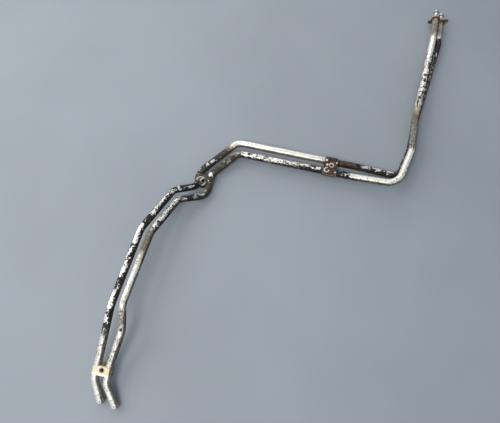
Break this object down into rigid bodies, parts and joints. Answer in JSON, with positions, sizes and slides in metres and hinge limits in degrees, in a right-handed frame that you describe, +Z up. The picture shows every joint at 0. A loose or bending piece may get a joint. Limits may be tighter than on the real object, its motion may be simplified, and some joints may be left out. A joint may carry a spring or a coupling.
{
  "type": "twin rigid coolant pipe",
  "caption": "Pair of bent rigid coolant tubes held side by side by a plastic hose-end clip, riveted brackets and a loose retaining flange at the plug-in spigots.",
  "frame": {"origin": "centre of the assembly's overall box in plan, at the level of the surface it lies on", "axes": "+X along the straight run, from the arch to the elbow; +Y along the leg, towards the flange and the spigots' tips; +Z up, away from the surface that the assembly lies on"},
  "size_m": [0.6424, 1.1228, 0.0691],
  "materials": {
    "feed_tube": "weathered aluminium, with old black paint flaking off",
    "return_tube": "weathered aluminium, whitened and grimy, with flecks of old black paint",
    "spigot_metal": "turned, dulled",
    "o_ring_rubber": "matt black",
    "flange_steel": "rusted plate steel, coarse and matt",
    "clip_plastic": "yellowed cream nylon",
    "clip_steel": "brown with surface rust",
    "mid_bracket_steel": "dark, oily and dusty",
    "run_bracket_steel": "rust-brown under worn black paint",
    "liner_nylon": "dirty natural nylon",
    "eyelet_steel": "worn plating with rust tint",
    "rivet_steel": "rusted"
  },
  "bodies": {
    "pipes": {"feed_pipe": "feed_tube", "return_pipe": "return_tube", "feed_spigot": "spigot_metal", "return_spigot": "spigot_metal", "feed_o_ring": "o_ring_rubber", "return_o_ring": "o_ring_rubber", "hose_clip_cover": "clip_plastic", "hose_clip_base": "clip_steel", "mid_bracket_plate": "mid_bracket_steel", "mid_bracket_strap": "mid_bracket_steel", "mid_liner_feed": "liner_nylon", "mid_liner_return": "liner_nylon", "mid_eyelet": "eyelet_steel", "run_bracket_plate": "run_bracket_steel", "run_bracket_strap": "run_bracket_steel", "run_liner_feed": "liner_nylon", "run_liner_return": "liner_nylon", "run_eyelet": "eyelet_steel", "run_rivets": "rivet_steel"},
    "flange": {"end_flange": "flange_steel"}
  },
  "joints": [
    {"name": "flange_slide", "type": "slide", "parent": "pipes", "child": "flange", "axis": [0, -1, 0], "range_m": [0, 0.04]}
  ]
}
